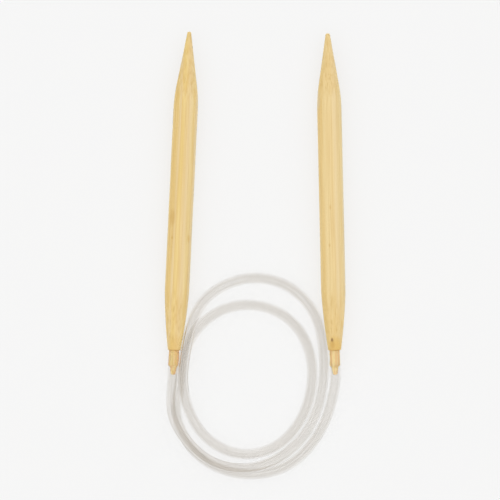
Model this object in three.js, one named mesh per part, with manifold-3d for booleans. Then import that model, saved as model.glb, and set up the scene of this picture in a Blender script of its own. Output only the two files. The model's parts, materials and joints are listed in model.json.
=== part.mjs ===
// Circular knitting needle, 10 mm thick and about 80 cm from tip to tip.
//
// Two turned bamboo needles, each with a peg at its back end, are joined by one soft clear tube that is
// pushed over both pegs. The needles lie side by side, points along +Y, and the tube lies behind them on
// the same surface, in two and a half loose turns. Units are millimetres and +Z is up. The origin is on
// that surface, under the middle of the box round the two needles.

import * as THREE from 'three';
import { mergeVertices } from 'three/addons/utils/BufferGeometryUtils.js';
import Module from 'manifold-3d';

const wasm = await Module();
wasm.setup();

// The needle. Heights run along its axis: 0 at the shoulder, positive towards the tip.
const NEEDLE_RADIUS = 5;
const NEEDLE_LENGTH = 130;
const POINT_LENGTH = 27;
const POINT_SOFTENING = 5;
const TIP_RADIUS = 0.85;
const BASE_TAPER_LENGTH = 24;
const BASE_TAPER_BULGE = new THREE.Vector2(4.6, 14);
const SHOULDER_RADIUS = 2.65;
const SHOULDER_EDGE = 0.3;
const NEEDLE_FACETS = 32;

// The peg behind the shoulder, a barbed barrel with a tapered nose.
const PEG_LENGTH = 10;
const PEG_ROOT_RADIUS = 1.2;
const PEG_BARB_RADIUS = 1.3;
const PEG_BARREL_LENGTH = 6;
const PEG_NOSE_RADIUS = 1.15;
const PEG_END_RADIUS = 0.9;

// The tube.
const TUBE_RADIUS = 2.1;
const BORE_RADIUS = 1.65;
const BORE_FACETS = 16;
const END_SIDES = 12;
const LOOP_SIDES = 10;
const STEP_LENGTH = 7.5;
const GAP = 0.3;

// Half the thickness of the faceted needle, which lies on one of its facets.
const AXIS_HEIGHT = NEEDLE_RADIUS * Math.cos(Math.PI / NEEDLE_FACETS);

// Where each shoulder is, and how far the needle leans from +Y towards +X, in degrees.
const NEEDLES = {
  left: { shoulder: new THREE.Vector3(-33.0, -59.97, AXIS_HEIGHT), lean: 2.72 },
  right: { shoulder: new THREE.Vector3(32.4, -59.97, AXIS_HEIGHT), lean: -1.26 },
};

// The tube leaves each peg in line with it, as far as the last of these heights.
const STRAIGHT_HEIGHTS = [0, -6, -12];

// The tube's centreline between its straight ends, from the right needle to the left one. It bends next
// to each needle at the first and at the last of these points.
const LOOSE_ROUTE = [
  [30.8, -81.9, 3.7], [26.9, -92.2, 2.4], [15.3, -105.7, 2.15], [-3.1, -110.5, 2.15],
  [-21.1, -104.4, 2.15], [-30.6, -92.0, 2.15], [-32.2, -82.6, 2.15], [-30.7, -74.9, 2.15],
  [-29.7, -67.0, 2.15], [-25.9, -54.5, 2.15], [-14.7, -44.2, 2.15], [0.3, -41.7, 2.15],
  [14.7, -48.2, 2.15], [22.3, -61.1, 2.15], [22.9, -75.3, 2.15], [18.7, -88.1, 2.15],
  [8.5, -99.1, 2.15], [-7.2, -102.1, 2.15], [-20.9, -94.6, 2.4], [-27.1, -84.2, 3.9],
  [-29.3, -74.8, 6.4], [-29.1, -65.5, 6.65], [-27.5, -55.9, 6.55], [-25.2, -47.3, 4.75],
  [-19.2, -38.0, 2.5], [-3.1, -30.7, 2.15], [14.4, -34.6, 2.15], [25.0, -46.9, 2.15],
  [28.0, -61.8, 2.15], [27.3, -76.0, 2.15], [22.8, -90.1, 2.25], [13.2, -101.4, 3.25],
  [-1.7, -107.9, 5.75], [-19.5, -104.4, 6.45], [-31.3, -91.4, 6.5], [-34.0, -81.8, 6.35],
];

const bamboo = new THREE.MeshStandardMaterial({ color: 0xe2c184, roughness: 0.5, metalness: 0 });
const clearPlastic = new THREE.MeshStandardMaterial({
  color: 0xdcdad6, roughness: 0.15, metalness: 0, transparent: true, opacity: 0.45,
});

function named(name, geometry, material) {
  const mesh = new THREE.Mesh(geometry, material);
  mesh.name = name;
  return mesh;
}

// The outline of a needle from the end of its peg to its tip, as radius and height.
function needleProfile() {
  const coneStart = NEEDLE_LENGTH - POINT_LENGTH;
  const coneSlope = (NEEDLE_RADIUS - TIP_RADIUS) / (POINT_LENGTH - TIP_RADIUS);
  const outline = new THREE.Path();
  outline.moveTo(0, -PEG_LENGTH);
  outline.lineTo(PEG_END_RADIUS, -PEG_LENGTH);
  outline.lineTo(PEG_NOSE_RADIUS, -PEG_BARREL_LENGTH - SHOULDER_EDGE);
  outline.lineTo(PEG_BARB_RADIUS, -PEG_BARREL_LENGTH);
  outline.lineTo(PEG_ROOT_RADIUS, 0);
  outline.lineTo(SHOULDER_RADIUS - SHOULDER_EDGE, 0);
  outline.lineTo(SHOULDER_RADIUS, SHOULDER_EDGE);
  outline.quadraticCurveTo(BASE_TAPER_BULGE.x, BASE_TAPER_BULGE.y, NEEDLE_RADIUS, BASE_TAPER_LENGTH);
  outline.lineTo(NEEDLE_RADIUS, coneStart - POINT_SOFTENING);
  outline.quadraticCurveTo(
    NEEDLE_RADIUS, coneStart,
    NEEDLE_RADIUS - coneSlope * POINT_SOFTENING, coneStart + POINT_SOFTENING,
  );
  outline.lineTo(TIP_RADIUS, NEEDLE_LENGTH - TIP_RADIUS);
  outline.quadraticCurveTo(TIP_RADIUS, NEEDLE_LENGTH, 0, NEEDLE_LENGTH);
  return outline.getPoints(6);
}

// Lays a piece that is made along +Y, from a shoulder at the origin, where that needle lies.
function placeOnNeedle(object, side) {
  object.position.copy(NEEDLES[side].shoulder);
  object.rotation.z = -THREE.MathUtils.degToRad(NEEDLES[side].lean);
  object.updateMatrixWorld();
  return object;
}

function needle(side) {
  const halfFacet = Math.PI / NEEDLE_FACETS;
  const geometry = new THREE.LatheGeometry(needleProfile(), NEEDLE_FACETS, halfFacet);
  return placeOnNeedle(named(`${side}_needle`, geometry, bamboo.clone()), side);
}

function pointOnAxis(side, height) {
  const axis = placeOnNeedle(new THREE.Object3D(), side);
  return axis.localToWorld(new THREE.Vector3(0, height, 0));
}

const route = new THREE.CatmullRomCurve3([
  ...STRAIGHT_HEIGHTS.map((height) => pointOnAxis('right', height)),
  ...LOOSE_ROUTE.map((point) => new THREE.Vector3(...point)),
  ...STRAIGHT_HEIGHTS.toReversed().map((height) => pointOnAxis('left', height)),
], false, 'centripetal');
route.arcLengthDivisions = 4000;

// How far along the route, in millimetres, it comes closest to a point.
function distanceAlongRoute(point) {
  const samples = route.getPoints(route.arcLengthDivisions);
  const lengths = route.getLengths();
  const gaps = samples.map((sample) => sample.distanceTo(point));
  return lengths[gaps.indexOf(Math.min(...gaps))];
}

// The part of the route between two distances along it.
class Stretch extends THREE.Curve {
  constructor(start, end) {
    super();
    this.start = start;
    this.end = end;
  }

  getPoint(t, target = new THREE.Vector3()) {
    const distance = THREE.MathUtils.lerp(this.start, this.end, t);
    return route.getPointAt(distance / route.getLength(), target);
  }
}

function rod(stretch, sides) {
  const corners = Array.from({ length: sides }, (_, i) => {
    const angle = (2 * Math.PI * i) / sides;
    return new THREE.Vector2(TUBE_RADIUS * Math.cos(angle), TUBE_RADIUS * Math.sin(angle));
  });
  return new THREE.ExtrudeGeometry(new THREE.Shape(corners), {
    extrudePath: stretch,
    steps: Math.ceil((stretch.end - stretch.start) / STEP_LENGTH),
    bevelEnabled: false,
  });
}

function solidOf(geometry) {
  const bare = new THREE.BufferGeometry();
  bare.setAttribute('position', geometry.getAttribute('position'));
  bare.setIndex(geometry.getIndex());
  const merged = mergeVertices(bare, 1e-4);
  return new wasm.Manifold(new wasm.Mesh({
    numProp: 3,
    vertProperties: new Float32Array(merged.getAttribute('position').array),
    triVerts: new Uint32Array(merged.getIndex().array),
  }));
}

function geometryOf(solid) {
  const mesh = solid.getMesh();
  const geometry = new THREE.BufferGeometry();
  geometry.setAttribute('position', new THREE.BufferAttribute(mesh.vertProperties, 3));
  geometry.setIndex(new THREE.BufferAttribute(mesh.triVerts, 1));
  geometry.computeVertexNormals();
  return geometry;
}

// The blind hole in a tube end, from outside its mouth to just past the end of the peg.
function boreTool(side) {
  const length = PEG_LENGTH + 3 * GAP;
  const tool = new THREE.CylinderGeometry(BORE_RADIUS, BORE_RADIUS, length, BORE_FACETS);
  tool.translate(0, GAP - length / 2, 0);
  const place = placeOnNeedle(new THREE.Object3D(), side);
  return solidOf(tool.applyMatrix4(place.matrixWorld));
}

// The end of the tube that is pushed over a peg, rounded where it meets the loop, so that it can turn there.
function tubeEnd(side, stretch, bend) {
  const ball = new THREE.SphereGeometry(TUBE_RADIUS, END_SIDES, END_SIDES / 2);
  ball.rotateX(Math.PI / 2);
  ball.translate(bend.x, bend.y, bend.z);
  const solid = solidOf(rod(stretch, END_SIDES)).add(solidOf(ball)).subtract(boreTool(side));
  return named(`tube_${side}_end`, geometryOf(solid), clearPlastic.clone());
}

const [rightBend, leftBend] = [LOOSE_ROUTE.at(0), LOOSE_ROUTE.at(-1)].map((p) => new THREE.Vector3(...p));
const rightBendAt = distanceAlongRoute(rightBend);
const leftBendAt = distanceAlongRoute(leftBend);
const tubeLength = route.getLength();
const loopInset = TUBE_RADIUS + GAP;

const circularNeedle = new THREE.Group();
circularNeedle.add(
  needle('left'),
  needle('right'),
  tubeEnd('left', new Stretch(leftBendAt, tubeLength - GAP), leftBend),
  tubeEnd('right', new Stretch(GAP, rightBendAt), rightBend),
  named(
    'tube_loop',
    rod(new Stretch(rightBendAt + loopInset, leftBendAt - loopInset), LOOP_SIDES),
    clearPlastic.clone(),
  ),
);

export default circularNeedle;
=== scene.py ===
import json
import math

import bpy
import numpy as np
from mathutils import Matrix, Vector, noise


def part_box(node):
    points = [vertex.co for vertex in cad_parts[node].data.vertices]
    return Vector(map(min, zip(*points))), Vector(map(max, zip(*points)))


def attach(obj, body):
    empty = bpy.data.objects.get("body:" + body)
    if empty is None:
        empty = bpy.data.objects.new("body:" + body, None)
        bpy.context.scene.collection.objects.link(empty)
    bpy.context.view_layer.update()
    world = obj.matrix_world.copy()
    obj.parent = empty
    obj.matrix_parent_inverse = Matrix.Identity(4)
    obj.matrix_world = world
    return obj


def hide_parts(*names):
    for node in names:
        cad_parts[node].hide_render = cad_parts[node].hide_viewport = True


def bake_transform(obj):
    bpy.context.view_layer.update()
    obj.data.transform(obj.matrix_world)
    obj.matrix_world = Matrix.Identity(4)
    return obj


# Circular knitting needle: two turned bamboo needles joined by one clear soft tube. The needles lie side
# by side on a pale table, and the tube lies behind them in two and a half loose turns. Lengths are in
# metres. A height on a needle runs along its axis, from 0 at the shoulder towards the tip.

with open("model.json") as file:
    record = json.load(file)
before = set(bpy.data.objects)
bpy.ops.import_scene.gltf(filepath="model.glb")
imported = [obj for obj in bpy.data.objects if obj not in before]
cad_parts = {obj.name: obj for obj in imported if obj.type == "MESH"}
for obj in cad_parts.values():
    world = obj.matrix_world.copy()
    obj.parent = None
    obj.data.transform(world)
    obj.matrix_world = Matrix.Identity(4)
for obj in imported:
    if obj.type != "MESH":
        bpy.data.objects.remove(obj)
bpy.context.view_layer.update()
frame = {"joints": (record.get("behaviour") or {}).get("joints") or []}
JOINTS = {joint["name"]: joint for joint in frame["joints"]}
SIDES = ("left", "right")

# The camera looks straight down, from far enough away that heights hardly shift anything.
VIEW_CENTRE = Vector((-0.0021, -0.0191, 0))
VIEW_WIDTH = 0.2043
CAMERA_HEIGHT = 2.0
SENSOR_WIDTH_MM = 36

# The light: how strong the dome is overhead and level with the table, the sine of the angle above the
# horizon where it reaches its full strength, and how strongly the light table itself glows.
ZENITH_LIGHT = 1.25
HORIZON_LIGHT = 0.2
DOME_FULL_AT = 0.7
TABLE_GLOW = 0.7
TABLE_HALF_WIDTH = 3.0

# The tube and its mesh, and how fine the clouds and the streaks in its plastic are.
TUBE_RADIUS = 0.00215
BORE_RADIUS = 0.0015
SPLINE_SAMPLES = 20000
RING_SPACING = 0.0009
TUBE_SIDES = 48
CLOUDS_PER_METRE = 90
STREAKS_PER_METRE = 25
STREAKS_ROUND = 3.0

# How the tube fits a peg. Its mouth stops a hair short of the shoulder, rounded and a little narrower than
# the rest. The peg bites into the wall of the bore, and its barb swells the tube. Past the barb, the bore
# closes to its own size.
MOUTH_GAP = 0.00001
MOUTH_ROUNDING = 0.00005
MOUTH_NARROWING = 0.00003
MOUTH_LENGTH = 0.002
PEG_BITE = 0.00002
BARB_SWELLING = 0.00005
BORE_SLACK = 0.00002
BORE_SLACK_LENGTH = 0.001
PEG_FIT_LENGTH = 0.009

# The tube is cut into its three pieces at this distance from each shoulder. It bends over this length to
# each side of its joint, and it leaves each peg in line with it as far as the last of these heights.
TUBE_END_LENGTH = 0.036
STRAIGHT_HEIGHTS = (0, -0.006, -0.012)

# The tube's centreline between its straight ends, from the right needle to the left one. It is the route
# of the CAD tube, in metres.
LOOSE_ROUTE = [
    (0.0308, -0.0819, 0.0037), (0.0269, -0.0922, 0.0024), (0.0153, -0.1057, 0.00215),
    (-0.0031, -0.1105, 0.00215), (-0.0211, -0.1044, 0.00215), (-0.0306, -0.0920, 0.00215),
    (-0.0322, -0.0826, 0.00215), (-0.0307, -0.0749, 0.00215), (-0.0297, -0.0670, 0.00215),
    (-0.0259, -0.0545, 0.00215), (-0.0147, -0.0442, 0.00215), (0.0003, -0.0417, 0.00215),
    (0.0147, -0.0482, 0.00215), (0.0223, -0.0611, 0.00215), (0.0229, -0.0753, 0.00215),
    (0.0187, -0.0881, 0.00215), (0.0085, -0.0991, 0.00215), (-0.0072, -0.1021, 0.00215),
    (-0.0209, -0.0946, 0.0024), (-0.0271, -0.0842, 0.0039), (-0.0293, -0.0748, 0.0064),
    (-0.0291, -0.0655, 0.00665), (-0.0275, -0.0559, 0.00655), (-0.0252, -0.0473, 0.00475),
    (-0.0192, -0.0380, 0.0025), (-0.0031, -0.0307, 0.00215), (0.0144, -0.0346, 0.00215),
    (0.0250, -0.0469, 0.00215), (0.0280, -0.0618, 0.00215), (0.0273, -0.0760, 0.00215),
    (0.0228, -0.0901, 0.00225), (0.0132, -0.1014, 0.00325), (-0.0017, -0.1079, 0.00575),
    (-0.0195, -0.1044, 0.00645), (-0.0313, -0.0914, 0.0065), (-0.0340, -0.0818, 0.00635),
]

# The needle, and the peg behind its shoulder: a barrel that widens to a barb, then a thinner nose.
NEEDLE_RADIUS = 0.005
POINT_LENGTH = 0.027
POINT_SOFTENING = 0.005
TIP_RADIUS = 0.00085
TIP_WEAR = {"left": 0.0, "right": 0.0008}
BASE_TAPER_LENGTH = 0.024
BASE_TAPER_BULGE = (0.014, 0.0046)
SHOULDER_RADIUS = 0.00265
SHOULDER_EDGE = 0.0003
PEG_LENGTH = 0.010
PEG_BARREL_LENGTH = 0.006
PEG_ROOT_RADIUS = 0.00196
PEG_BARB_RADIUS = 0.00198
PEG_NOSE_RADIUS = 0.0014
PEG_END_RADIUS = 0.00095
NEEDLE_SIDES = 96
NEEDLE_RING_SPACING = 0.0006
CURVE_POINTS = 24

# Small edges of the needle: the peg's rounded end, the step from nose to barb with the barb's own edge,
# the root of the peg, the rounded rim of the shoulder, and where the base taper starts from that rim.
PEG_END_ROUNDING = 0.0006
PEG_END_FLARE = 0.00003
BARB_STEP_LENGTH = 0.0009
BARB_EDGE_LENGTH = 0.0002
BARB_EDGE_DEPTH = 0.00006
PEG_ROOT_LENGTH = 0.0002
SHOULDER_LIFT = 0.00002
SHOULDER_FLARE = 0.00003
SHOULDER_CURVE_POINTS = 8
TAPER_START_HEIGHT = SHOULDER_EDGE * 1.2
TAPER_START_FLARE = 0.00004

# Sanding: how much it takes off, how wavy it is round the needle and along it, and how thin the needle
# is where it stops.
SANDING_DEPTH = 0.00003
SANDING_WAVES_ROUND = 1.3
SANDING_WAVES_PER_METRE = 90
SANDED_DOWN_TO_RADIUS = 0.0016
SANDING_SEEDS = {"left": 2.0, "right": 5.0}

# An edge that turns more than this is shaded as a sharp one.
SHARP_ANGLE = math.radians(50)


# ---------------------------------------------------------------------------------------- places


class NeedlePlace:
    """Where one needle lies: its shoulder and axis, from the joint that it turns on, and its length."""

    def __init__(self, side):
        joint = JOINTS[f"{side}_needle_twist"]
        self.shoulder = Vector(joint["pos_m"])
        self.axis = Vector(joint["axis"]).normalized()
        tip = max(corner.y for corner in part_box(f"{side}_needle"))
        self.length = (tip - self.shoulder.y) / self.axis.y

    def point(self, height):
        return self.shoulder + self.axis * height

    def matrix(self):
        """Takes local +Y to the needle's axis and keeps +Z up, with the shoulder at the local origin."""
        up = Vector((0, 0, 1))
        across = self.axis.cross(up).normalized()
        turn = Matrix((across, self.axis, up)).transposed()
        return Matrix.Translation(self.shoulder) @ turn.to_4x4()


PLACES = {side: NeedlePlace(side) for side in SIDES}


def add_camera():
    data = bpy.data.cameras.new("camera")
    data.sensor_width = SENSOR_WIDTH_MM
    data.lens = SENSOR_WIDTH_MM * CAMERA_HEIGHT / VIEW_WIDTH
    camera = bpy.data.objects.new("camera", data)
    camera.location = VIEW_CENTRE + Vector((0, 0, CAMERA_HEIGHT))
    bpy.context.collection.objects.link(camera)
    bpy.context.scene.camera = camera


# -------------------------------------------------------------------------------------- the tube


def spline_through(points, samples):
    """The smoothest curve through the points: a natural cubic spline on centripetal knots."""
    steps = np.diff(points, axis=0)
    widths = np.sqrt(np.linalg.norm(steps, axis=1))
    knots = np.concatenate(([0], np.cumsum(widths)))
    slopes = steps / widths[:, None]
    count = len(points)
    matrix = np.eye(count)
    turns = np.zeros((count, 3))
    for i in range(1, count - 1):
        matrix[i, i - 1] = widths[i - 1]
        matrix[i, i] = 2 * (widths[i - 1] + widths[i])
        matrix[i, i + 1] = widths[i]
        turns[i] = 6 * (slopes[i] - slopes[i - 1])
    bends = np.linalg.solve(matrix, turns)
    at = np.linspace(0, knots[-1], samples)
    i = np.clip(np.searchsorted(knots, at) - 1, 0, count - 2)
    width = widths[i][:, None]
    done = (at - knots[i])[:, None]
    left = width - done
    curved = (bends[i] * left**3 + bends[i + 1] * done**3) / (6 * width)
    from_start = (points[i] / width - bends[i] * width / 6) * left
    from_end = (points[i + 1] / width - bends[i + 1] * width / 6) * done
    return curved + from_start + from_end


def distances_along(points):
    return np.concatenate(([0], np.cumsum(np.linalg.norm(np.diff(points, axis=0), axis=1))))


class Centreline:
    """The tube's centreline from the right shoulder to the left one, in even steps."""

    def __init__(self):
        right_end = [PLACES["right"].point(height) for height in STRAIGHT_HEIGHTS]
        left_end = [PLACES["left"].point(height) for height in reversed(STRAIGHT_HEIGHTS)]
        route = np.array([*right_end, *LOOSE_ROUTE, *left_end], float)
        fine = spline_through(route, SPLINE_SAMPLES)
        fine_distances = distances_along(fine)
        self.length = fine_distances[-1]
        count = round(self.length / RING_SPACING) + 1
        self.distances = np.linspace(0, self.length, count)
        self.points = np.stack(
            [np.interp(self.distances, fine_distances, fine[:, k]) for k in range(3)], axis=1
        )
        self.sideways, self.upward = self._frames()

    def _frames(self):
        """Two directions square to the line at each point, carried along it without twisting."""
        tangents = np.gradient(self.points, axis=0)
        tangents /= np.linalg.norm(tangents, axis=1)[:, None]
        sideways = [np.cross(tangents[0], (0, 0, 1))]
        for tangent in tangents[1:]:
            carried = sideways[-1] - tangent * np.dot(sideways[-1], tangent)
            sideways.append(carried / np.linalg.norm(carried))
        sideways = np.array(sideways)
        sideways /= np.linalg.norm(sideways, axis=1)[:, None]
        return sideways, np.cross(tangents, sideways)

    def index_at(self, distance):
        return int(round(distance / self.length * (len(self.distances) - 1)))

    def from_mouth(self, index):
        """The distance from a point on the line to the nearer shoulder."""
        return min(self.distances[index], self.length - self.distances[index])


def bore_radius(from_mouth):
    """The bore is stretched to the peg's shape where the peg's barrel fills it."""
    shape = (
        (0, PEG_ROOT_RADIUS - PEG_BITE),
        (PEG_BARREL_LENGTH, PEG_BARB_RADIUS - PEG_BITE),
        (PEG_BARREL_LENGTH + BORE_SLACK_LENGTH, BORE_RADIUS + BORE_SLACK),
        (PEG_FIT_LENGTH, BORE_RADIUS),
    )
    return np.interp(from_mouth, *zip(*shape))


def outer_radius(from_mouth):
    """The tube narrows a little at its mouth and swells over the barb."""
    shape = (
        (0, TUBE_RADIUS - MOUTH_NARROWING),
        (MOUTH_LENGTH, TUBE_RADIUS),
        (PEG_BARREL_LENGTH, TUBE_RADIUS + BARB_SWELLING),
        (PEG_FIT_LENGTH, TUBE_RADIUS),
    )
    return np.interp(from_mouth, *zip(*shape))


def ring(line, index, radius):
    angles = np.linspace(0, 2 * math.pi, TUBE_SIDES, endpoint=False)[:, None]
    spokes = np.cos(angles) * line.sideways[index] + np.sin(angles) * line.upward[index]
    return line.points[index] + spokes * radius


def bridge(first, second, sides):
    """The quads between two rings of corners that start at these numbers."""
    quads = []
    for i in range(sides):
        j = (i + 1) % sides
        quads.append((first + i, first + j, second + j, second + i))
    return quads


def add_grain(obj, line, first, last):
    """Marks each corner with where it is round the tube and along it, for the streaks in the plastic.
    The corners come as the outer rings from first to last, then the bore's rings from last to first."""
    angles = np.linspace(0, 2 * math.pi, TUBE_SIDES, endpoint=False)
    grain = [
        (math.cos(angle), math.sin(angle), line.distances[i] * STREAKS_PER_METRE)
        for i in [*range(first, last + 1), *range(last, first - 1, -1)]
        for angle in angles
    ]
    attribute = obj.data.attributes.new("grain", "FLOAT_VECTOR", "POINT")
    attribute.data.foreach_set("vector", np.array(grain, float).ravel())


def new_object(name, corners, faces, material):
    mesh = bpy.data.meshes.new(name)
    mesh.from_pydata([tuple(corner) for corner in corners], [], faces)
    mesh.validate()
    mesh.shade_smooth()
    mesh.set_sharp_from_angle(angle=SHARP_ANGLE)
    mesh.materials.append(material)
    obj = bpy.data.objects.new(name, mesh)
    bpy.context.collection.objects.link(obj)
    return obj


def tube_stretch(name, line, first, last, material):
    """A hollow stretch of the tube from one point of the line to another. It is rounded over at a mouth,
    and left open where the next stretch carries on from the same two rings."""
    mouth_at_start = first == 0
    mouth_at_end = last == len(line.points) - 1
    indices = range(first, last + 1)
    outer_rings = [ring(line, i, outer_radius(line.from_mouth(i))) for i in indices]
    bore_rings = [ring(line, i, bore_radius(line.from_mouth(i))) for i in reversed(indices)]
    far_end = len(outer_rings) - 1
    rings = outer_rings + bore_rings
    if mouth_at_start:
        rings[0], rings[-1] = mouth_rings(line, first, 1)
    if mouth_at_end:
        rings[far_end], rings[far_end + 1] = mouth_rings(line, last, -1)
    corners = np.concatenate(rings)
    faces = []
    for k in range(len(rings) - 1):
        if k != far_end or mouth_at_end:
            faces += bridge(k * TUBE_SIDES, (k + 1) * TUBE_SIDES, TUBE_SIDES)
    if mouth_at_start:
        faces += bridge((len(rings) - 1) * TUBE_SIDES, 0, TUBE_SIDES)
    stretch = new_object(name, corners, faces, material)
    add_grain(stretch, line, first, last)
    return stretch


def mouth_rings(line, index, step):
    """The outer and inner edge of a mouth, set back from the shoulder by the gap."""
    inward = Vector(line.points[index + step] - line.points[index]).normalized()
    set_back = np.array(inward * MOUTH_GAP)
    outer = ring(line, index, outer_radius(0) - MOUTH_ROUNDING) + set_back
    inner = ring(line, index, bore_radius(0)) + set_back
    return outer, inner


def add_tube():
    """The one tube, in three pieces that meet without a seam: a bending end at each needle and the loop."""
    line = Centreline()
    material = clear_plastic()
    end = len(line.points) - 1
    right_seam = line.index_at(TUBE_END_LENGTH)
    left_seam = end - right_seam
    loop = tube_stretch("tube_loop_clear", line, right_seam, left_seam, material)
    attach(loop, "tube")
    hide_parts("tube_loop")
    for side, first, last in (("right", 0, right_seam), ("left", left_seam, end)):
        piece = tube_stretch(f"tube_{side}_end_clear", line, first, last, material)
        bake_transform(piece)
        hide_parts(f"tube_{side}_end")


# ----------------------------------------------------------------------------------- the needles


def bezier(start, bulge, end, count=CURVE_POINTS):
    t = np.linspace(0, 1, count)[:, None]
    start, bulge, end = (np.array(p) for p in (start, bulge, end))
    return (1 - t) ** 2 * start + 2 * t * (1 - t) * bulge + t**2 * end


def needle_outline(length, worn):
    """Height and radius along the needle, from the end of its peg to its tip, less what is worn off."""
    cone_start = length - POINT_LENGTH
    cone_slope = (NEEDLE_RADIUS - TIP_RADIUS) / (POINT_LENGTH - TIP_RADIUS)
    softened = NEEDLE_RADIUS - cone_slope * POINT_SOFTENING
    tip_radius = TIP_RADIUS + cone_slope * worn
    pieces = [
        bezier(
            (-PEG_LENGTH, 0),
            (-PEG_LENGTH, PEG_END_RADIUS),
            (-PEG_LENGTH + PEG_END_ROUNDING, PEG_END_RADIUS + PEG_END_FLARE),
        ),
        [
            (-PEG_BARREL_LENGTH - BARB_STEP_LENGTH, PEG_NOSE_RADIUS),
            (-PEG_BARREL_LENGTH - BARB_EDGE_LENGTH, PEG_BARB_RADIUS - BARB_EDGE_DEPTH),
            (-PEG_BARREL_LENGTH, PEG_BARB_RADIUS),
            (-PEG_ROOT_LENGTH, PEG_ROOT_RADIUS),
            (0, PEG_ROOT_RADIUS),
        ],
        bezier(
            (SHOULDER_LIFT, SHOULDER_RADIUS - SHOULDER_EDGE),
            (SHOULDER_LIFT, SHOULDER_RADIUS),
            (SHOULDER_EDGE, SHOULDER_RADIUS + SHOULDER_FLARE),
            SHOULDER_CURVE_POINTS,
        ),
        bezier(
            (TAPER_START_HEIGHT, SHOULDER_RADIUS + TAPER_START_FLARE),
            BASE_TAPER_BULGE,
            (BASE_TAPER_LENGTH, NEEDLE_RADIUS),
        ),
        bezier(
            (cone_start - POINT_SOFTENING, NEEDLE_RADIUS),
            (cone_start, NEEDLE_RADIUS),
            (cone_start + POINT_SOFTENING, softened),
        ),
        bezier((length - worn - tip_radius, tip_radius), (length - worn, tip_radius), (length - worn, 0)),
    ]
    return np.concatenate([np.array(piece, float) for piece in pieces])


def evenly_filled(outline, spacing):
    """The outline with points added, so that no step is longer than the spacing."""
    filled = [outline[0]]
    for before, after in zip(outline[:-1], outline[1:]):
        steps = max(1, math.ceil(np.linalg.norm(after - before) / spacing))
        for k in range(1, steps + 1):
            filled.append(before + (after - before) * k / steps)
    return filled


def hand_sanded(radius, height, angle, seed):
    """Sanding leaves a turned needle a few hundredths of a millimetre off round, but not its peg."""
    if height <= 0 or radius < SANDED_DOWN_TO_RADIUS:
        return radius
    across = math.cos(angle) * SANDING_WAVES_ROUND
    upward = math.sin(angle) * SANDING_WAVES_ROUND + seed
    place = Vector((across, height * SANDING_WAVES_PER_METRE, upward))
    return radius - SANDING_DEPTH * (1 + noise.noise(place))


def add_needle(side, material):
    place = PLACES[side]
    seed = SANDING_SEEDS[side]
    outline = evenly_filled(needle_outline(place.length, TIP_WEAR[side]), NEEDLE_RING_SPACING)
    corners = [(0, outline[0][0], 0)]
    for height, radius in outline[1:-1]:
        for i in range(NEEDLE_SIDES):
            angle = 2 * math.pi * i / NEEDLE_SIDES
            sanded = hand_sanded(radius, height, angle, seed)
            corners.append((sanded * math.cos(angle), height, -sanded * math.sin(angle)))
    corners.append((0, outline[-1][0], 0))
    last = len(corners) - 1
    faces = [(0, 1 + (i + 1) % NEEDLE_SIDES, 1 + i) for i in range(NEEDLE_SIDES)]
    rings = len(outline) - 2
    for k in range(rings - 1):
        faces += bridge(1 + k * NEEDLE_SIDES, 1 + (k + 1) * NEEDLE_SIDES, NEEDLE_SIDES)
    final = 1 + (rings - 1) * NEEDLE_SIDES
    faces += [(last, final + i, final + (i + 1) % NEEDLE_SIDES) for i in range(NEEDLE_SIDES)]
    needle = new_object(f"{side}_bamboo_needle", corners, faces, material)
    needle.matrix_world = place.matrix()
    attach(needle, f"{side}_needle")
    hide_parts(f"{side}_needle")


# ------------------------------------------------------------------------------------- materials


class Shader:
    """A material and short ways to add nodes to it. A value given as a socket is linked, and any other
    value is set on the input itself."""

    def __init__(self, name):
        self.material = bpy.data.materials.new(name)
        self.material.use_nodes = True
        self.tree = self.material.node_tree
        self.tree.nodes.clear()

    def put(self, socket, value):
        if isinstance(value, bpy.types.NodeSocket):
            self.tree.links.new(value, socket)
        elif value is not None:
            socket.default_value = value

    def node(self, kind, inputs=(), **settings):
        made = self.tree.nodes.new(kind)
        for key, value in settings.items():
            setattr(made, key, value)
        for key, value in dict(inputs).items():
            self.put(made.inputs[key], value)
        return made

    def math(self, operation, first, second=None):
        return self.node("ShaderNodeMath", {0: first, 1: second}, operation=operation).outputs[0]

    def vector(self, operation, first, second):
        return self.node("ShaderNodeVectorMath", {0: first, 1: second}, operation=operation).outputs[0]

    def spread(self, value, low, high, to_low=0.0, to_high=1.0):
        """A smooth change from to_low to to_high, as the value goes from low to high."""
        inputs = {"Value": value, 1: low, 2: high, 3: to_low, 4: to_high}
        return self.node("ShaderNodeMapRange", inputs, interpolation_type="SMOOTHSTEP").outputs[0]

    def mix(self, factor, first, second):
        """The first colour where the factor is 0, and the second where it is 1."""
        inputs = {0: factor, 6: first, 7: second}
        return self.node("ShaderNodeMix", inputs, data_type="RGBA").outputs[2]

    def noise(self, place, detail):
        inputs = {"Vector": place, "Scale": 1.0, "Detail": detail, "Roughness": 0.5}
        return self.node("ShaderNodeTexNoise", inputs).outputs["Fac"]

    def bump(self, height, distance, strength):
        inputs = {"Height": height, "Distance": distance, "Strength": strength}
        return self.node("ShaderNodeBump", inputs).outputs["Normal"]

    def finish(self, surface):
        output = self.node("ShaderNodeOutputMaterial")
        self.tree.links.new(surface, output.inputs["Surface"])
        return self.material


PLASTIC_TONES = {
    "dull": (0.887, 0.872, 0.85, 1),
    "clear": (0.903, 0.888, 0.87, 1),
    "light streak": (0.95, 0.94, 0.925, 1),
    "dark streak": (0.83, 0.812, 0.787, 1),
}


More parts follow.
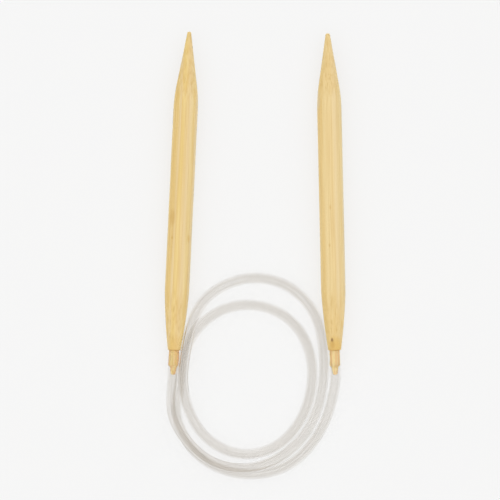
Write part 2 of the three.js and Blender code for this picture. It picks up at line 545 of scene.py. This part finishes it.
def clear_plastic():
    """Soft clear plastic with faint clouding, and with streaks drawn out along the tube."""
    shader = Shader("clear_soft_plastic")
    place = shader.node("ShaderNodeTexCoord").outputs["Object"]
    cloud = shader.noise(shader.vector("MULTIPLY", place, (CLOUDS_PER_METRE,) * 3), 3.0)
    tint = shader.mix(cloud, PLASTIC_TONES["dull"], PLASTIC_TONES["clear"])
    grain = shader.node("ShaderNodeAttribute", attribute_name="grain").outputs["Vector"]
    drawn_out = shader.vector("MULTIPLY", grain, (STREAKS_ROUND, STREAKS_ROUND, 1.0))
    streaks = shader.noise(drawn_out, 2.0)
    tint = shader.mix(shader.spread(streaks, 0.5, 0.62), tint, PLASTIC_TONES["light streak"])
    dark = shader.spread(streaks, 0.38, 0.5, 0.6, 0.0)
    tint = shader.mix(dark, tint, PLASTIC_TONES["dark streak"])
    surface = shader.node(
        "ShaderNodeBsdfPrincipled",
        {
            "Base Color": tint,
            "Roughness": 0.0,
            "IOR": 1.17,
            "Transmission Weight": 1.0,
        },
    )
    return shader.finish(surface.outputs["BSDF"])


# The bamboo's grain: features per metre across and along the needle, and what is added to the needle's own
# seed. The sum moves the grain along one direction, so that no two kinds of grain line up.
GRAIN = {
    "bands": (600, 5, 0),
    "wander": (60, 14, 11),
    "streaks": (1500, 16, 5),
    "fibres": (2400, 30, 7),
    "strands": (1250, 26, 3),
    "waves": (1700, 260, 13),
    "peg": (2000, 20, 19),
}
GRAIN_SEEDS = {"left": 3.1, "right": 8.4}
SEED_DIRECTION = (1.0, 1.7, 2.3)

# How deep the strands stand out, how far the stripes wander to each side, and between which heights the
# painted shade round the shoulder's rim fades.
RELIEF_DEPTH = 0.00003
STRIPE_WANDER = 0.0004
SHADED_RIM_FROM, SHADED_RIM_TO = 0.0002, 0.0007

# The strands show as flecks on the tapers and as long lines on the shank. One fades into the other between
# these distances from where each taper meets the shank.
BASE_FADE_FROM, BASE_FADE_TO = -0.008, 0.004
POINT_FADE_FROM, POINT_FADE_TO = -0.002, 0.006


def drawn_out_grain(shader, place, name, seed):
    """Texture coordinates for one kind of grain, drawn out along the needle and moved by the seed."""
    across, along, seed_offset = GRAIN[name]
    shift = tuple((seed + seed_offset) * part for part in SEED_DIRECTION)
    scaled = shader.vector("MULTIPLY", place, (across, along, across))
    return shader.vector("ADD", scaled, shift)


def spot(shader, height, sideways, upward, at, size):
    """One at a mark's centre on the upper side of the needle, fading to nothing at its size."""
    along = shader.math("DIVIDE", shader.math("SUBTRACT", height, at[0]), size[0])
    across = shader.math("DIVIDE", shader.math("SUBTRACT", sideways, at[1]), size[1])
    along_squared = shader.math("MULTIPLY", along, along)
    across_squared = shader.math("MULTIPLY", across, across)
    squares = shader.math("ADD", along_squared, across_squared)
    on_top = shader.math("GREATER_THAN", upward, 0.0)
    return shader.math("MULTIPLY", shader.spread(squares, 0.0, 1.0, 1.0, 0.0), on_top)


def stripe(shader, sideways, wobble, at, half_width):
    """One along the middle of a lengthwise stripe, fading to nothing at its half width."""
    offset = shader.math("SUBTRACT", shader.math("ADD", sideways, wobble), at)
    return shader.spread(shader.math("ABSOLUTE", offset), 0.0, half_width, 1.0, 0.0)


def on_tapers(shader, height, length):
    """One on the base taper and on the point, where the turning cuts across the strands."""
    base_end = BASE_TAPER_LENGTH
    base = shader.spread(height, base_end + BASE_FADE_FROM, base_end + BASE_FADE_TO, 1.0, 0.0)
    cone_start = length - POINT_LENGTH
    point = shader.spread(height, cone_start + POINT_FADE_FROM, cone_start + POINT_FADE_TO)
    return shader.math("MAXIMUM", base, point)


def bamboo(side, tones, stripes, marks):
    """Bamboo with its strands running along the needle. The strands are bundles in the solid, so they
    show as long lines on the shaft and as short flecks where the tapers cut them."""
    shader = Shader(f"bamboo_{side}")
    place = shader.node("ShaderNodeTexCoord").outputs["Object"]
    split = shader.node("ShaderNodeSeparateXYZ", {0: place})
    sideways, height, upward = split.outputs

    def grain(name):
        return drawn_out_grain(shader, place, name, GRAIN_SEEDS[side])

    bands = shader.noise(grain("bands"), 2.0)
    colour = shader.mix(shader.spread(bands, 0.36, 0.64), tones["warm"], tones["pale"])
    wander = shader.noise(grain("wander"), 1.0)
    wobble = shader.spread(wander, 0.2, 0.8, -STRIPE_WANDER, STRIPE_WANDER)
    # The stripes are partly the bamboo's own bands and partly painted sheen and painted shade down the
    # needle's sides.
    for at, half_width, amount, tone in stripes:
        there = shader.math("MULTIPLY", stripe(shader, sideways, wobble, at, half_width), amount)
        colour = shader.mix(there, colour, tones[tone])

    streaks = shader.noise(grain("streaks"), 2.0)
    colour = shader.mix(shader.spread(streaks, 0.45, 0.68, 0.0, 0.5), colour, tones["deep"])
    fibres = shader.noise(grain("fibres"), 2.0)
    colour = shader.mix(shader.spread(fibres, 0.45, 0.7, 0.0, 0.55), colour, tones["light"])

    bundle = shader.node(
        "ShaderNodeTexVoronoi",
        {"Vector": grain("strands"), "Scale": 1.0, "Randomness": 1.0},
        feature="F1",
    ).outputs["Distance"]
    strand = shader.spread(bundle, 0.1, 0.34, 1.0, 0.0)
    colour = shader.mix(shader.math("MULTIPLY", strand, 0.35), colour, tones["strand"])

    waves = shader.noise(grain("waves"), 2.0)
    fleck = shader.spread(waves, 0.54, 0.7, 0.0, 0.55)
    cut = on_tapers(shader, height, PLACES[side].length)
    colour = shader.mix(shader.math("MULTIPLY", cut, 0.2), colour, tones["orange"])
    colour = shader.mix(shader.math("MULTIPLY", fleck, cut), colour, tones["fleck"])

    for at, size, amount, tone in marks:
        there = shader.math("MULTIPLY", spot(shader, height, sideways, upward, at, size), amount)
        colour = shader.mix(there, colour, tones[tone])

    # Painted shade: a narrow darker band round the shoulder's rim, for the shade in the crease where the
    # tube's mouth meets the shoulder.
    edge = shader.spread(height, SHADED_RIM_FROM, SHADED_RIM_TO, 0.5, 0.0)
    colour = shader.mix(edge, colour, tones["shaded rim"])
    peg_grain = shader.noise(grain("peg"), 1.0)
    peg = shader.mix(shader.spread(peg_grain, 0.42, 0.48), tones["peg streak"], tones["peg"])
    peg = shader.mix(shader.spread(peg_grain, 0.53, 0.6, 0.0, 0.8), peg, tones["peg light"])
    on_peg = shader.spread(height, -PEG_ROOT_LENGTH, 0.0, 1.0, 0.0)
    colour = shader.mix(on_peg, colour, peg)

    relief = shader.math("ADD", shader.math("MULTIPLY", strand, -0.6), fibres)
    surface = shader.node(
        "ShaderNodeBsdfPrincipled",
        {
            "Base Color": colour,
            "Diffuse Roughness": 0.8,
            "Roughness": shader.spread(streaks, 0.3, 0.7, 0.42, 0.56),
            "IOR": 1.45,
            "Normal": shader.bump(relief, RELIEF_DEPTH, 0.5),
            "Coat Weight": 0.12,
            "Coat Roughness": 0.3,
        },
    )
    return shader.finish(surface.outputs["BSDF"])


# The bamboo's colours, as red, green, blue and alpha.
LEFT_TONES = {
    "warm": (0.77, 0.57, 0.23, 1),
    "pale": (0.82, 0.66, 0.32, 1),
    "orange": (0.76, 0.53, 0.16, 1),
    "yellow": (0.84, 0.67, 0.25, 1),
    "beige": (0.80, 0.65, 0.40, 1),
    "grey": (0.72, 0.60, 0.38, 1),
    "deep": (0.76, 0.55, 0.20, 1),
    "light": (0.88, 0.74, 0.42, 1),
    "strand": (0.64, 0.42, 0.14, 1),
    "fleck": (0.62, 0.42, 0.12, 1),
    "smudge": (0.62, 0.38, 0.08, 1),
    "knot": (0.30, 0.15, 0.05, 1),
    # The tone of the painted shade round the shoulder's rim.
    "shaded rim": (0.62, 0.37, 0.10, 1),
    "peg": (0.87, 0.69, 0.29, 1),
    "peg streak": (0.90, 0.62, 0.36, 1),
    "peg light": (0.95, 0.83, 0.50, 1),
}
RIGHT_TONES = {
    **LEFT_TONES,
    "warm": (0.78, 0.61, 0.29, 1),
    "pale": (0.83, 0.67, 0.35, 1),
    "deep": (0.77, 0.57, 0.24, 1),
}

# Stripes that run the whole length: side offset, half width, strength, tone. The beige stripe right of the
# middle and the grey one at the right side, at much the same places on both needles, are partly the
# bamboo's own bands and partly painted sheen; the orange ones at the left side are partly the bamboo's
# colour and partly painted shade.
LEFT_STRIPES = [
    (-0.0040, 0.0018, 0.95, "orange"),
    (-0.0023, 0.0007, 0.75, "beige"),
    (-0.0009, 0.0012, 0.60, "yellow"),
    (0.0014, 0.0018, 0.60, "beige"),
    (0.0046, 0.0012, 0.60, "grey"),
]
RIGHT_STRIPES = [
    (-0.0040, 0.0018, 0.60, "orange"),
    (-0.0050, 0.0008, 0.80, "orange"),
    (0.0020, 0.0020, 0.50, "beige"),
    (0.0048, 0.0009, 0.50, "grey"),
]

# Marks on the upper side: height and side offset, half length and half width, strength, tone.
LEFT_MARKS = [
    ((0.0540, -0.0032), (0.0045, 0.0014), 0.45, "smudge"),
    ((0.0458, -0.0029), (0.0008, 0.0005), 0.60, "smudge"),
    ((0.0458, 0.0038), (0.0022, 0.0008), 0.40, "smudge"),
    ((0.0008, 0.0000), (0.0060, 0.0045), 0.55, "orange"),
]
RIGHT_MARKS = [
    ((0.0583, -0.0006), (0.0012, 0.0005), 0.40, "smudge"),
    ((0.0428, -0.0012), (0.0010, 0.0005), 0.40, "smudge"),
    ((0.0060, 0.0000), (0.0110, 0.0070), 0.20, "orange"),
    ((0.0005, 0.0003), (0.0065, 0.0040), 0.95, "orange"),
    ((0.0042, -0.0010), (0.0011, 0.0007), 0.85, "knot"),
    ((0.0024, -0.0008), (0.0022, 0.0012), 0.55, "smudge"),
    ((0.1020, -0.0045), (0.0050, 0.0010), 0.60, "grey"),
]


# --------------------------------------------------------------------------- table, light, output


TABLE_TONES = {"dull": (0.20, 0.20, 0.20, 1), "bright": (0.206, 0.206, 0.204, 1)}
MOTTLES_PER_METRE = 60


def table_paint():
    """A matt white light table with a faint mottle: most of its brightness is its own."""
    shader = Shader("light_table")
    place = shader.node("ShaderNodeTexCoord").outputs["Object"]
    mottle = shader.noise(shader.vector("MULTIPLY", place, (MOTTLES_PER_METRE,) * 3), 3.0)
    colour = shader.mix(mottle, TABLE_TONES["dull"], TABLE_TONES["bright"])
    surface = shader.node(
        "ShaderNodeBsdfPrincipled",
        {
            "Base Color": colour,
            "Roughness": 0.9,
            "Specular IOR Level": 0.1,
            "Emission Color": (1, 1, 0.998, 1),
            "Emission Strength": TABLE_GLOW,
        },
    )
    return shader.finish(surface.outputs["BSDF"])


def add_table():
    half = TABLE_HALF_WIDTH
    corners = [(-half, -half, 0), (half, -half, 0), (half, half, 0), (-half, half, 0)]
    table = new_object("table", corners, [(0, 1, 2, 3)], table_paint())


def add_light():
    """One wide soft dome: bright overhead, and dimmer low down, where a room stands behind a light tent."""
    world = bpy.data.worlds.new("studio")
    world.use_nodes = True
    tree = world.node_tree
    direction = tree.nodes.new("ShaderNodeTexCoord").outputs["Generated"]
    split = tree.nodes.new("ShaderNodeSeparateXYZ")
    tree.links.new(direction, split.inputs[0])
    rise = tree.nodes.new("ShaderNodeMapRange")
    rise.interpolation_type = "SMOOTHSTEP"
    rise.inputs["From Min"].default_value = 0.0
    rise.inputs["From Max"].default_value = DOME_FULL_AT
    rise.inputs["To Min"].default_value = HORIZON_LIGHT
    rise.inputs["To Max"].default_value = ZENITH_LIGHT
    tree.links.new(split.outputs["Z"], rise.inputs["Value"])
    tree.links.new(rise.outputs[0], tree.nodes["Background"].inputs["Strength"])
    tree.nodes["Background"].inputs["Color"].default_value = (1, 1, 1, 1)
    world.cycles.sampling_method = "NONE"
    bpy.context.scene.world = world
    bpy.context.scene.view_settings.view_transform = "Standard"


def trace_clear_plastic_fully():
    """Lets light through as many as three strands of tube, down to the table and back. With no blurring of
    highlights, and a denoiser that goes by colour alone, the strands stay smooth."""
    cycles = bpy.context.scene.cycles
    cycles.blur_glossy = 0
    cycles.denoising_input_passes = "RGB"
    cycles.max_bounces = 32
    cycles.transmission_bounces = 32
    cycles.glossy_bounces = 16
    cycles.diffuse_bounces = 8


add_camera()
add_tube()
add_needle("left", bamboo("left", LEFT_TONES, LEFT_STRIPES, LEFT_MARKS))
add_needle("right", bamboo("right", RIGHT_TONES, RIGHT_STRIPES, RIGHT_MARKS))
add_table()
add_light()
trace_clear_plastic_fully()
